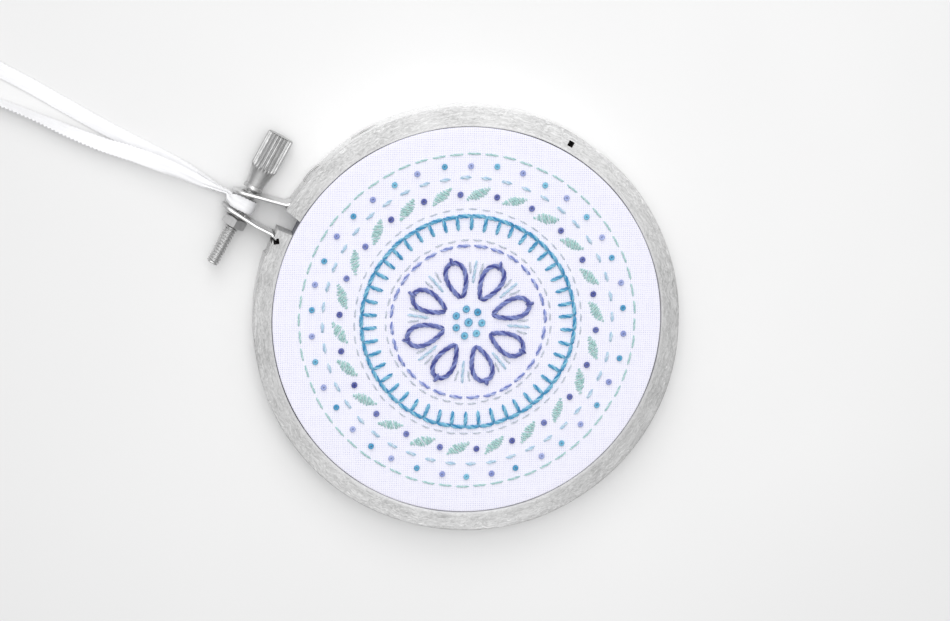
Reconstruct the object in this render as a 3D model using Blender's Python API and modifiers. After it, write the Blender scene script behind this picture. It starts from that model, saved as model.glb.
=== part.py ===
"""Small wooden embroidery hoop with stretched cloth, a screw clamp and a hanging ribbon.

The hoop lies flat with its cloth face up. +Z is up, +Y points from the ring's centre to the
clamp, and +X points along the clamp screw towards its thumb head. Units are metres.
"""

import math

import bmesh
import bpy
from mathutils import Matrix, Vector

MM = 0.001
CLEARANCE = 0.3 * MM

# Rings and cloth
RING_HEIGHT = 7.5 * MM
OUTER_RING_RADIUS = 42.15 * MM
OUTER_RING_BORE = 38.8 * MM
OUTER_EDGE_ROUND = 0.6 * MM
INNER_EDGE_ROUND = 0.25 * MM
CLOTH_THICKNESS = 1.0 * MM
CLOTH_RADIUS = OUTER_RING_BORE - CLEARANCE
CLOTH_TOP = RING_HEIGHT - 0.1 * MM
CLOTH_HEM_HEIGHT = 0.3 * MM
CLOTH_SHOULDER = 0.5 * MM
INNER_RING_RADIUS = CLOTH_RADIUS - CLOTH_THICKNESS - CLEARANCE
INNER_RING_BORE = INNER_RING_RADIUS - 3.4 * MM
INNER_RING_TOP = CLOTH_TOP - CLOTH_THICKNESS - CLEARANCE
RING_STEPS = 96

# Wedge between the two ring ends: x and y of its corners, in millimetres from the ring's centre
GAP_CORNERS = ((-1.8, 44.5), (3.05, 44.5), (1.42, 36.8), (-1.01, 36.8))
CUT_MARGIN = 2.0 * MM

# Clamp screw
SCREW_Y = 49.7 * MM
SCREW_Z = RING_HEIGHT / 2
ROD_RADIUS = 1.25 * MM
ROD_TIP_X = -13.75 * MM
ROD_TIP_CHAMFER = 0.3 * MM
COLLAR_X = 2.8 * MM
COLLAR_LENGTH = 0.95 * MM
COLLAR_RADIUS = 1.9 * MM
HEAD_NECK_RADIUS = 1.5 * MM
HEAD_RADIUS = 2.65 * MM
HEAD_END_X = 14.65 * MM
KNURL_LENGTH = 7.1 * MM
HEAD_CHAMFER = 0.3 * MM
FLUTE_COUNT = 24
FLUTE_DEPTH = 0.22 * MM
SCREW_HOLE_RADIUS = ROD_RADIUS + CLEARANCE + 0.03 * MM

# Clamp ears: metal strips whose lower feet stand in pockets in the ring ends
EAR_THICKNESS = 0.65 * MM
EAR_HEIGHT = 7.0 * MM
EAR_CORNER_ROUND = 2.4 * MM
EAR_REACH = 53.6 * MM
POCKET_WIDTH = EAR_THICKNESS + 2 * CLEARANCE
HEAD_SIDE_EAR = ((1.03, 53.1), (3.4, 42.8), (3.55, 42.58), (3.8, 42.2), (5.3, 40.8))
NUT_SIDE_EAR = ((-2.4, 53.6), (-3.05, 45.6), (-2.98, 42.4), (-3.09, 42.22), (-3.72, 41.03))
# For each ear: number of the point where its foot starts, height of the foot's top and of its pocket
HEAD_SIDE_FOOT = (2, 6.1 * MM, 6.5 * MM)
NUT_SIDE_FOOT = (3, 5.0 * MM, 5.4 * MM)
NUT_SIDE_SLOT = 1.25 * MM
SAW_CUT_WIDTH = 0.42 * MM

# Hexagon nut outside the nut side ear
NUT_ACROSS_FLATS = 4.4 * MM
NUT_THICKNESS = 1.85 * MM
NUT_RIGHT_X = -3.6 * MM
NUT_TURN = math.radians(3)

# Square pin holes in the ring face, and the shaved stretch beside the nut side ring end
PIN_HOLE_SIDE = 1.15 * MM
PIN_HOLE_DEPTH = 4.0 * MM
PIN_HOLES = ((-3.72, 41.03, 35.0), (40.53, -0.55, 0.0))
SHAVE_DEPTH = 0.4 * MM
SHAVE_START_ANGLE = math.radians(-9.8)
SHAVE_END_X = -1.2 * MM

# Wire staples in the outer wall, by the angles of their legs from the clamp
STAPLE_WIRE_RADIUS = 0.25 * MM
STAPLE_LEG_DEPTH = 1.6 * MM
STAPLE_SOCKET_RADIUS = STAPLE_WIRE_RADIUS + CLEARANCE
STAPLE_BOW = 0.75 * MM
STAPLES = {"staple_near_clamp": (12.2, 17.8), "staple_far_from_clamp": (28.8, 36.6)}

# The outer ring's centre lies here, so that the origin is below the middle of the hoop's box
RING_Y = -(EAR_REACH - OUTER_RING_RADIUS) / 2

# Hanging ribbon, from the underside of the rod out to its far bend and back over the rod
RIBBON_THICKNESS = 1.0 * MM
RIBBON_WRAP_RADIUS = ROD_RADIUS + CLEARANCE + RIBBON_THICKNESS / 2
RIBBON_WRAP_END = math.radians(12)
RIBBON_WRAP_WIDTH = 2.7
RIBBON_WRAP_X = -0.55
RIBBON_STATIONS = 84
# Columns: x, y, z and width in millimetres from the ring's centre, and turn about the run in degrees
RIBBON_ROUTE = (
    (-0.60, 51.5, 1.65, 2.4, 0),
    (-0.35, 52.7, 1.65, 1.3, 0),
    (-0.20, 53.8, 1.60, 0.9, 0),
    (-0.30, 55.4, 1.45, 1.0, 0),
    (-0.30, 57.0, 1.30, 1.4, 0),
    (-0.30, 59.0, 1.12, 1.9, 0),
    (-0.2, 62.2, 0.90, 2.45, 0),
    (-0.35, 66.9, 0.70, 2.85, 0),
    (-0.45, 74.1, 0.65, 2.85, 0),
    (-0.5, 81.3, 0.65, 2.85, 0),
    (-0.35, 88.6, 0.65, 2.85, 0),
    (-0.15, 95.9, 0.65, 2.85, 0),
    (-0.15, 102.9, 0.80, 2.85, 4),
    (0.10, 107.5, 1.35, 3.0, 35),
    (0.00, 111.5, 1.65, 3.0, 70),
    (-0.70, 115.0, 1.68, 3.0, 88),
    (-2.60, 117.6, 1.68, 3.0, 90),
    (-5.20, 118.1, 1.68, 3.0, 90),
    (-7.30, 116.2, 1.68, 3.0, 90),
    (-8.00, 112.8, 1.68, 3.0, 92),
    (-7.60, 108.5, 1.68, 3.0, 96),
    (-6.6, 104.2, 1.68, 3.0, 101),
    (-5.6, 99.8, 1.66, 3.0, 109),
    (-4.85, 93.1, 1.70, 3.0, 116),
    (-4.3, 86.2, 1.90, 3.0, 133),
    (-3.5, 79.5, 2.30, 2.9, 150),
    (-2.2, 73.0, 3.00, 2.9, 170),
    (-1.28, 67.0, 3.75, 2.9, 180),
    (-0.80, 62.2, 4.35, 2.4, 180),
    (-0.57, 59.0, 4.85, 1.9, 180),
    (-0.35, 57.0, 5.15, 1.3, 180),
    (-0.15, 55.4, 5.40, 1.0, 180),
    (0.10, 53.8, 5.65, 0.9, 180),
    (-0.45, 52.9, 5.80, 1.8, 180),
    (-0.60, 51.8, 5.80, 2.6, 180),
)

for old in list(bpy.data.objects):
    bpy.data.objects.remove(old, do_unlink=True)

parts = bpy.data.collections.new("embroidery_hoop")
cutters = bpy.data.collections.new("cutters")
bpy.context.scene.collection.children.link(parts)
bpy.context.scene.collection.children.link(cutters)


def plain_material(name, colour, roughness, metallic=0.0):
    material = bpy.data.materials.new(name)
    material.use_nodes = True
    shader = material.node_tree.nodes["Principled BSDF"]
    shader.inputs["Base Color"].default_value = (*colour, 1.0)
    shader.inputs["Roughness"].default_value = roughness
    shader.inputs["Metallic"].default_value = metallic
    return material


GREY_WOOD = plain_material("grey_wood", (0.57, 0.57, 0.56), 0.75)
PALE_WOOD = plain_material("pale_wood", (0.62, 0.60, 0.57), 0.75)
WHITE_CLOTH = plain_material("white_cloth", (0.86, 0.85, 0.92), 0.9)
WHITE_SATIN = plain_material("white_satin", (0.92, 0.92, 0.93), 0.4)
NICKEL = plain_material("nickel", (0.62, 0.61, 0.60), 0.3, 1.0)
WIRE_STEEL = plain_material("wire_steel", (0.5, 0.5, 0.5), 0.35, 1.0)


def finish(obj, name, material):
    """Name a piece, give it its material and put it in the parts collection."""
    obj.name = name
    obj.data.name = name
    obj.data.materials.clear()
    obj.data.materials.append(material)
    parts.objects.link(obj)
    return obj


def mesh_object(name, mesh_builder):
    """New object around the mesh that a bmesh holds; the caller links it."""
    mesh = bpy.data.meshes.new(name)
    bmesh.ops.recalc_face_normals(mesh_builder, faces=mesh_builder.faces)
    mesh_builder.to_mesh(mesh)
    mesh_builder.free()
    return bpy.data.objects.new(name, mesh)


def settled(obj):
    """Mesh copy of an object with its modifiers applied, its loose caps welded."""
    bpy.context.scene.collection.objects.link(obj)
    bpy.context.view_layer.update()
    evaluated = obj.evaluated_get(bpy.context.evaluated_depsgraph_get())
    mesh = bpy.data.meshes.new_from_object(evaluated)
    weld = bmesh.new()
    weld.from_mesh(mesh)
    bmesh.ops.remove_doubles(weld, verts=weld.verts, dist=0.002 * MM)
    weld.to_mesh(mesh)
    weld.free()
    copy = bpy.data.objects.new(obj.name, mesh)
    copy.matrix_world = obj.matrix_world.copy()
    bpy.data.objects.remove(obj, do_unlink=True)
    return copy


def turned(name, profile, steps, closed):
    """Solid turned about Z from (radius, height) points that run down the outer side."""
    mesh = bpy.data.meshes.new(name)
    count = len(profile)
    edges = [(i, i + 1) for i in range(count - 1)]
    if closed:
        edges.append((count - 1, 0))
    mesh.from_pydata([(radius, 0.0, height) for radius, height in profile], edges, [])
    obj = bpy.data.objects.new(name, mesh)
    screw = obj.modifiers.new("turn", "SCREW")
    screw.steps = steps
    screw.render_steps = steps
    screw.use_merge_vertices = True
    screw.merge_threshold = 0.001 * MM
    screw.use_smooth_shade = True
    return settled(obj)


def rounded_corner(centre, radius, start, end, steps=3):
    """Points of an arc in the (radius, height) plane, angles in degrees."""
    points = []
    for step in range(steps + 1):
        angle = math.radians(start + (end - start) * step / steps)
        points.append((centre[0] + radius * math.cos(angle), centre[1] + radius * math.sin(angle)))
    return points


def shade_round(obj, angle=math.radians(35)):
    obj.data.shade_smooth()
    obj.data.set_sharp_from_angle(angle=angle)


def cutter(obj):
    """Keep an object as a Boolean cutter: out of renders, shown as wire."""
    cutters.objects.link(obj)
    obj.hide_render = True
    obj.display_type = "WIRE"
    return obj


def cut(obj, tool):
    boolean = obj.modifiers.new("cut_" + tool.name, "BOOLEAN")
    boolean.operation = "DIFFERENCE"
    boolean.solver = "EXACT"
    boolean.object = tool


def box(name, centre, size, turn=0.0):
    """Box with its centre and full sizes, turned about Z."""
    builder = bmesh.new()
    bmesh.ops.create_cube(builder, size=1.0)
    bmesh.ops.scale(builder, vec=size, verts=builder.verts)
    obj = mesh_object(name, builder)
    obj.location = centre
    obj.rotation_euler.z = turn
    return obj


def cylinder(name, radius, start, end, sides=32):
    """Cylinder from one point to another."""
    start = Vector(start)
    end = Vector(end)
    builder = bmesh.new()
    bmesh.ops.create_cone(
        builder, cap_ends=True, segments=sides, radius1=radius, radius2=radius, depth=(end - start).length
    )
    obj = mesh_object(name, builder)
    obj.location = (start + end) / 2
    obj.rotation_mode = "QUATERNION"
    obj.rotation_quaternion = (end - start).to_track_quat("Z", "Y")
    return obj


def prism(name, corners, low, high):
    """Upright prism over corners given in millimetres from the ring's centre."""
    builder = bmesh.new()
    floor = [builder.verts.new((x * MM, y * MM + RING_Y, low)) for x, y in corners]
    roof = [builder.verts.new((x * MM, y * MM + RING_Y, high)) for x, y in corners]
    builder.faces.new(floor)
    builder.faces.new(roof)
    for k in range(len(corners)):
        after = (k + 1) % len(corners)
        builder.faces.new((floor[k], floor[after], roof[after], roof[k]))
    return mesh_object(name, builder)


def foot_cutter(name, ear, width, low, high):
    """Box along an ear's foot, from just past its inner end to outside the ring."""
    inner = from_ring(*ear[-1], 0.0)
    outer = from_ring(*ear[-2], 0.0)
    run = (outer - inner).normalized()
    inner -= run * CLEARANCE
    outer += run * CUT_MARGIN
    centre = (inner + outer) / 2
    centre.z = (low + high) / 2
    return box(name, centre, ((outer - inner).length, width, high - low), math.atan2(run.y, run.x))


def from_ring(x, y, z):
    """World point of a place given in millimetres from the ring's centre."""
    return Vector((x * MM, y * MM + RING_Y, z * MM))


def around_ring(radius, angle, z):
    """World point on a circle about the ring's centre, angle from the clamp towards +X."""
    return Vector((radius * math.sin(angle), radius * math.cos(angle) + RING_Y, z))


def make_outer_ring():
    """Turned ring with softened edges, split at the clamp and cut for feet, pins and staples."""
    top, bore, radius = RING_HEIGHT, OUTER_RING_BORE, OUTER_RING_RADIUS
    soft, small = OUTER_EDGE_ROUND, INNER_EDGE_ROUND
    profile = rounded_corner((radius - soft, top - soft), soft, 90, 0)
    profile += rounded_corner((radius - soft, soft), soft, 0, -90)
    profile += rounded_corner((bore + small, small), small, -90, -180, steps=2)
    profile += rounded_corner((bore + small, top - small), small, 180, 90, steps=2)
    ring = turned("outer_ring", profile, RING_STEPS, closed=True)
    ring.location.y = RING_Y
    finish(ring, "outer_ring", GREY_WOOD)

    deep = RING_HEIGHT + 2 * CUT_MARGIN
    middle = RING_HEIGHT / 2
    cut(ring, cutter(prism("split", GAP_CORNERS, -CUT_MARGIN, RING_HEIGHT + CUT_MARGIN)))

    head_pocket = foot_cutter("head_side_pocket", HEAD_SIDE_EAR, POCKET_WIDTH, -CUT_MARGIN, HEAD_SIDE_FOOT[2])
    nut_pocket = foot_cutter("nut_side_pocket", NUT_SIDE_EAR, POCKET_WIDTH, -CUT_MARGIN, NUT_SIDE_FOOT[2])
    cut(ring, cutter(head_pocket))
    cut(ring, cutter(nut_pocket))
    saw_cut = foot_cutter("saw_cut", NUT_SIDE_EAR, SAW_CUT_WIDTH, middle, RING_HEIGHT + CUT_MARGIN)
    cut(ring, cutter(saw_cut))

    for number, (x, y, turn) in enumerate(PIN_HOLES, start=1):
        centre = from_ring(x, y, 0.0)
        centre.z = RING_HEIGHT + (CUT_MARGIN - PIN_HOLE_DEPTH) / 2
        size = (PIN_HOLE_SIDE, PIN_HOLE_SIDE, PIN_HOLE_DEPTH + CUT_MARGIN)
        cut(ring, cutter(box("pin_hole_" + str(number), centre, size, math.radians(turn))))

    shaved = OUTER_RING_RADIUS - SHAVE_DEPTH
    start = around_ring(shaved, SHAVE_START_ANGLE, middle)
    end = Vector((SHAVE_END_X, math.sqrt(shaved**2 - SHAVE_END_X**2) + RING_Y, middle))
    run = (end - start).normalized()
    outward = Vector((-run.y, run.x, 0.0))
    end += run * CUT_MARGIN
    centre = (start + end) / 2 + outward * CUT_MARGIN
    size = ((end - start).length, 2 * CUT_MARGIN, deep)
    cut(ring, cutter(box("shave", centre, size, math.atan2(run.y, run.x))))

    for name, legs in STAPLES.items():
        for number, leg in enumerate(legs, start=1):
            angle = math.radians(leg)
            inner = around_ring(OUTER_RING_RADIUS - STAPLE_LEG_DEPTH - CLEARANCE, angle, middle)
            outer = around_ring(OUTER_RING_RADIUS + CUT_MARGIN, angle, middle)
            socket = cylinder(name + "_socket_" + str(number), STAPLE_SOCKET_RADIUS, inner, outer, 12)
            cut(ring, cutter(socket))
    return ring


def make_inner_ring():
    """Plain closed ring under the cloth."""
    soft = INNER_EDGE_ROUND
    profile = [
        (INNER_RING_RADIUS - soft, INNER_RING_TOP),
        (INNER_RING_RADIUS, INNER_RING_TOP - soft),
        (INNER_RING_RADIUS, soft),
        (INNER_RING_RADIUS - soft, 0.0),
        (INNER_RING_BORE + soft, 0.0),
        (INNER_RING_BORE, soft),
        (INNER_RING_BORE, INNER_RING_TOP - soft),
        (INNER_RING_BORE + soft, INNER_RING_TOP),
    ]
    ring = turned("inner_ring", profile, RING_STEPS, closed=True)
    ring.location.y = RING_Y
    shade_round(ring)
    return finish(ring, "inner_ring", PALE_WOOD)


def make_cloth():
    """One sheet: flat over the inner ring, its rim turned down between the two rings."""
    under = CLOTH_TOP - CLOTH_THICKNESS
    shoulder = CLOTH_SHOULDER
    profile = [(0.0, CLOTH_TOP)]
    profile += rounded_corner((CLOTH_RADIUS - shoulder, CLOTH_TOP - shoulder), shoulder, 90, 0)
    profile += [
        (CLOTH_RADIUS, CLOTH_HEM_HEIGHT),
        (CLOTH_RADIUS - CLOTH_THICKNESS, CLOTH_HEM_HEIGHT),
        (CLOTH_RADIUS - CLOTH_THICKNESS, under),
        (0.0, under),
    ]
    cloth = turned("cloth", profile, RING_STEPS, closed=False)
    cloth.location.y = RING_Y
    shade_round(cloth)
    return finish(cloth, "cloth", WHITE_CLOTH)


def make_ear(name, path, foot, slot=0.0):
    """Bent metal strip with a round-cornered outer end, a lower foot and a hole or slot for the rod."""
    low = SCREW_Z - EAR_HEIGHT / 2
    high = SCREW_Z + EAR_HEIGHT / 2
    foot_start, foot_top, _ = foot
    builder = bmesh.new()
    lower = [builder.verts.new((x * MM, y * MM + RING_Y, low)) for x, y in path]
    upper = [builder.verts.new((x * MM, y * MM + RING_Y, high)) for x, y in path[: foot_start + 1]]
    step = [builder.verts.new((x * MM, y * MM + RING_Y, foot_top)) for x, y in path[foot_start:]]
    for i in range(foot_start - 1):
        builder.faces.new((lower[i], lower[i + 1], upper[i + 1], upper[i]))
    before = foot_start - 1
    builder.faces.new((lower[before], lower[foot_start], step[0], upper[foot_start], upper[before]))
    for i in range(foot_start, len(path) - 1):
        k = i - foot_start
        builder.faces.new((lower[i], lower[i + 1], step[k + 1], step[k]))
    bmesh.ops.bevel(
        builder, geom=[lower[0], upper[0]], offset=EAR_CORNER_ROUND, segments=6, profile=0.5, affect="VERTICES"
    )
    ear = mesh_object(name, builder)
    solid = ear.modifiers.new("thickness", "SOLIDIFY")
    solid.thickness = EAR_THICKNESS
    solid.offset = 0.0
    solid.use_even_offset = True
    ear = finish(settled(ear), name, NICKEL)
    reach = 8 * MM
    middle = from_ring((path[0][0] + path[1][0]) / 2, 0.0, 0.0).x
    axis_y = SCREW_Y + RING_Y
    start = (middle - reach, axis_y, SCREW_Z)
    end = (middle + reach, axis_y, SCREW_Z)
    cut(ear, cutter(cylinder(name + "_hole", SCREW_HOLE_RADIUS, start, end)))
    if slot:
        aside = Vector((0.0, -slot, 0.0))
        size = (2 * reach, slot, 2 * SCREW_HOLE_RADIUS)
        cut(ear, cutter(box(name + "_slot", Vector((middle, axis_y, SCREW_Z)) + aside / 2, size)))
        end_hole = cylinder(name + "_slot_end", SCREW_HOLE_RADIUS, Vector(start) + aside, Vector(end) + aside)
        cut(ear, cutter(end_hole))
    return ear


def make_staple(name, legs):
    """Bowed wire whose two legs stand in sockets in the ring's outer wall."""
    first, last = (math.radians(leg) for leg in legs)
    points = [around_ring(OUTER_RING_RADIUS - STAPLE_LEG_DEPTH, first, SCREW_Z)]
    bow_steps = 8
    stand_off = STAPLE_WIRE_RADIUS + CLEARANCE
    for step in range(bow_steps + 1):
        share = step / bow_steps
        radius = OUTER_RING_RADIUS + stand_off + (STAPLE_BOW - stand_off) * math.sin(math.pi * share)
        points.append(around_ring(radius, first + (last - first) * share, SCREW_Z))
    points.append(around_ring(OUTER_RING_RADIUS - STAPLE_LEG_DEPTH, last, SCREW_Z))
    curve = bpy.data.curves.new(name, "CURVE")
    curve.dimensions = "3D"
    spline = curve.splines.new("POLY")
    spline.points.add(len(points) - 1)
    for point, place in zip(spline.points, points):
        point.co = (*place, 1.0)
    curve.bevel_depth = STAPLE_WIRE_RADIUS
    curve.bevel_resolution = 2
    curve.use_fill_caps = True
    staple = settled(bpy.data.objects.new(name, curve))
    shade_round(staple)
    return finish(staple, name, WIRE_STEEL)


def make_thumbscrew():
    """Rod, collar, tapered neck and fluted head, turned as one piece about the screw's axis."""
    knurl_start = HEAD_END_X - KNURL_LENGTH
    shoulder = knurl_start - 2 * HEAD_CHAMFER
    collar_end = COLLAR_X + COLLAR_LENGTH
    profile = [
        (0.0, HEAD_END_X),
        (HEAD_RADIUS - HEAD_CHAMFER, HEAD_END_X),
        (HEAD_RADIUS, HEAD_END_X - HEAD_CHAMFER),
        (HEAD_RADIUS, knurl_start),
        (HEAD_RADIUS - HEAD_CHAMFER, shoulder),
        (HEAD_NECK_RADIUS, collar_end),
        (COLLAR_RADIUS, collar_end),
        (COLLAR_RADIUS, COLLAR_X),
        (ROD_RADIUS, COLLAR_X),
        (ROD_RADIUS, ROD_TIP_X + ROD_TIP_CHAMFER),
        (ROD_RADIUS - ROD_TIP_CHAMFER, ROD_TIP_X),
        (0.0, ROD_TIP_X),
    ]
    screw = turned("thumbscrew", profile, 2 * FLUTE_COUNT, closed=False)
    step = math.pi / FLUTE_COUNT
    for vertex in screw.data.vertices:
        on_knurl = knurl_start - HEAD_CHAMFER / 2 < vertex.co.z < HEAD_END_X - HEAD_CHAMFER / 2
        line = round(math.atan2(vertex.co.y, vertex.co.x) / step)
        if on_knurl and line % 2:
            share = 1 - FLUTE_DEPTH / HEAD_RADIUS
            vertex.co.x *= share
            vertex.co.y *= share
    screw.data.transform(Matrix.Rotation(math.radians(90), 4, "Y"))
    screw.location = (0.0, SCREW_Y + RING_Y, SCREW_Z)
    shade_round(screw)
    return finish(screw, "thumbscrew", NICKEL)


def make_nut():
    """Hexagon nut around the rod, just outside the nut side ear."""
    left = NUT_RIGHT_X - NUT_THICKNESS
    axis_y = SCREW_Y + RING_Y
    corner_radius = NUT_ACROSS_FLATS / math.sqrt(3)
    start = (left, axis_y, SCREW_Z)
    end = (NUT_RIGHT_X, axis_y, SCREW_Z)
    nut = cylinder("hex_nut", corner_radius, start, end, sides=6)
    nut.data.transform(Matrix.Rotation(NUT_TURN, 4, "Z"))
    bore_start = (left - CUT_MARGIN, axis_y, SCREW_Z)
    bore_end = (NUT_RIGHT_X + CUT_MARGIN, axis_y, SCREW_Z)
    finish(nut, "hex_nut", NICKEL)
    cut(nut, cutter(cylinder("nut_bore", SCREW_HOLE_RADIUS, bore_start, bore_end)))
    return nut


def ribbon_table():
    """The whole route: up to the rod's underside, out and back, and over the rod's top."""
    rows = []
    points = 6
    centre_y = SCREW_Y / MM
    centre_z = SCREW_Z / MM
    radius = RIBBON_WRAP_RADIUS / MM
    under = (math.pi + RIBBON_WRAP_END, 1.5 * math.pi, 0)
    over = (0.5 * math.pi, math.pi - RIBBON_WRAP_END, 180)
    for start, end, turn in (under, over):
        arc = []
        for point in range(points):
            angle = start + (end - start) * point / (points - 1)
            y = centre_y + radius * math.cos(angle)
            z = centre_z + radius * math.sin(angle)
            arc.append((RIBBON_WRAP_X, y, z, RIBBON_WRAP_WIDTH, turn))
        rows.append(arc)
    return rows[0] + list(RIBBON_ROUTE) + rows[1]


def smooth_row(rows, place):
    """Row of the table at a fractional place, on a smooth curve through all rows."""
    first = min(int(place), len(rows) - 2)
    share = place - first
    before = rows[max(first - 1, 0)]
    after = rows[min(first + 2, len(rows) - 1)]
    row = []
    for a, b, c, d in zip(before, rows[first], rows[first + 1], after):
        slope_in = (c - a) / 2
        slope_out = (d - b) / 2
        cube = 2 * b - 2 * c + slope_in + slope_out
        square = -3 * b + 3 * c - 2 * slope_in - slope_out
        row.append(((cube * share + square) * share + slope_in) * share + b)
    return row


def make_ribbon():
    """Flat strip lofted along the route, each section turned about the run."""
    table = ribbon_table()
    rows = [smooth_row(table, i * (len(table) - 1) / RIBBON_STATIONS) for i in range(RIBBON_STATIONS + 1)]
    places = [from_ring(*row[:3]) for row in rows]
    builder = bmesh.new()
    sections = []
    for i, row in enumerate(rows):
        run = (places[min(i + 1, len(places) - 1)] - places[max(i - 1, 0)]).normalized()
        turn = math.radians(row[4])
        across = Vector((math.cos(turn), 0.0, math.sin(turn)))
        across = (across - run * across.dot(run)).normalized()
        through = run.cross(across)
        half_width = across * row[3] * MM / 2
        half_depth = through * RIBBON_THICKNESS / 2
        corners = (half_width + half_depth, half_width - half_depth)
        corners += (-half_width - half_depth, half_depth - half_width)
        sections.append([builder.verts.new(places[i] + corner) for corner in corners])
    for here, there in zip(sections, sections[1:]):
        for k in range(4):
            builder.faces.new((here[k], here[(k + 1) % 4], there[(k + 1) % 4], there[k]))
    builder.faces.new(sections[0])
    builder.faces.new(sections[-1])
    ribbon = mesh_object("hanging_ribbon", builder)
    shade_round(ribbon)
    return finish(ribbon, "hanging_ribbon", WHITE_SATIN)


shade_round(make_outer_ring())
make_inner_ring()
make_cloth()
make_ear("clamp_ear_head_side", HEAD_SIDE_EAR, HEAD_SIDE_FOOT)
make_ear("clamp_ear_nut_side", NUT_SIDE_EAR, NUT_SIDE_FOOT, NUT_SIDE_SLOT)
for staple_name, staple_legs in STAPLES.items():
    make_staple(staple_name, staple_legs)
make_thumbscrew()
make_nut()
make_ribbon()
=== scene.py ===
"""Visual model of the small embroidery hoop: rings, cloth, stitches, clamp, staples and ribbon.

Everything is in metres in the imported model's frame: +Z is up, +Y points from the ring's centre to
the clamp, and +X along the clamp screw to its thumb head. Numbers in the tables and in the
stitch calls are millimetres from the ring's centre.
"""
import math
import random

import bmesh
import bpy
import numpy as np
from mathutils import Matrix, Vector


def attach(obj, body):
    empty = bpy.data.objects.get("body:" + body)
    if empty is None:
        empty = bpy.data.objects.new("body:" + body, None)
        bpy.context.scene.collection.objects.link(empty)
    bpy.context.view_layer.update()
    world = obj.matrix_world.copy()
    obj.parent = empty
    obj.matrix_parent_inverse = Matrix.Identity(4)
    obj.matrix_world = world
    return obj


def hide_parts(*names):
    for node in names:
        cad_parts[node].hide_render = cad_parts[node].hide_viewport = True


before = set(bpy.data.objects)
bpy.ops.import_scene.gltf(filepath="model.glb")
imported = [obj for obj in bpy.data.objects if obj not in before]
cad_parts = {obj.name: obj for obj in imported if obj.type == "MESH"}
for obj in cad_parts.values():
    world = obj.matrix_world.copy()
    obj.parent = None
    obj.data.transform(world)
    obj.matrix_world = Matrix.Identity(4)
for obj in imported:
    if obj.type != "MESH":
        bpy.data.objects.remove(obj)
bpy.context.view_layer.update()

MM = 0.001
RING_Y = -5.725 * MM
CLEARANCE = 0.3

# Rings and cloth, in millimetres
RING_HEIGHT = 7.5
OUTER_RADIUS = 42.15
BORE_RADIUS = 38.8
CLOTH_RADIUS = 38.66
CLOTH_TOP = 7.4
CLOTH_SHEET = 0.35
CLOTH_HEM = 0.3
CLOTH_SHOULDER = 0.3
INNER_RADIUS = 37.2
INNER_BORE = 33.8
INNER_TOP = 6.1
CUT_MARGIN = 2.0

# Clamp, in millimetres
SCREW_Y = 49.7
SCREW_Z = RING_HEIGHT / 2
ROD_RADIUS = 1.25
ROD_TIP = -13.75
COLLAR = (2.8, 3.6, 2.0)
HEAD_END = 14.65
KNURL_START = 7.55
HEAD_RADIUS = 2.65
NECK_RADIUS = 1.72
FLUTES = 24
THREAD_PITCH = 0.6
EAR_THICKNESS = 0.65
EAR_HEIGHT = 7.0
EAR_ROUND = 2.4
EAR_HOLE = 1.58
NUT_SIDE_SLOT = 1.25
# Each ear's foot: how far past its last bend it narrows, the height of its top there, and the
# height of the pocket that it stands in
EAR_FEET = {"clamp_ear_head_side": (0.35, 6.1, 6.5), "clamp_ear_nut_side": (0.4, 5.0, 5.4)}
SAW_CUT_WIDTH = 0.5
# The gap's corners: x at its left and right, and distance from the centre
GAP_CORNERS = ((-1.8, 44.5), (3.05, 44.5), (1.42, 36.8), (-1.01, 36.8))
EARS = {
    "clamp_ear_head_side": ((1.03, 53.1), (3.4, 42.8), (3.8, 42.2), (5.3, 40.8)),
    "clamp_ear_nut_side": ((-2.4, 53.6), (-3.05, 45.6), (-2.98, 42.4), (-3.72, 41.03)),
}
NUT_FLATS = 4.4
NUT_SPAN = (-5.45, -3.6)
NUT_TURN = math.radians(3)
PIN_HOLES = ((-3.72, 41.03, 35.0), (40.53, -0.55, 0.0))
PIN_HOLE_SIDE = 1.15
PIN_HOLE_DEPTH = 4.0
SHAVE_DEPTH = 0.4
SHAVE_START = math.radians(-9.8)
SHAVE_END_X = -1.2
STAPLES = {"staple_near_clamp": (12.2, 17.8), "staple_far_from_clamp": (28.8, 36.6)}
STAPLE_WIRE = 0.17
STAPLE_LEG = 1.6
STAPLE_BOW = 0.75

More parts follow.
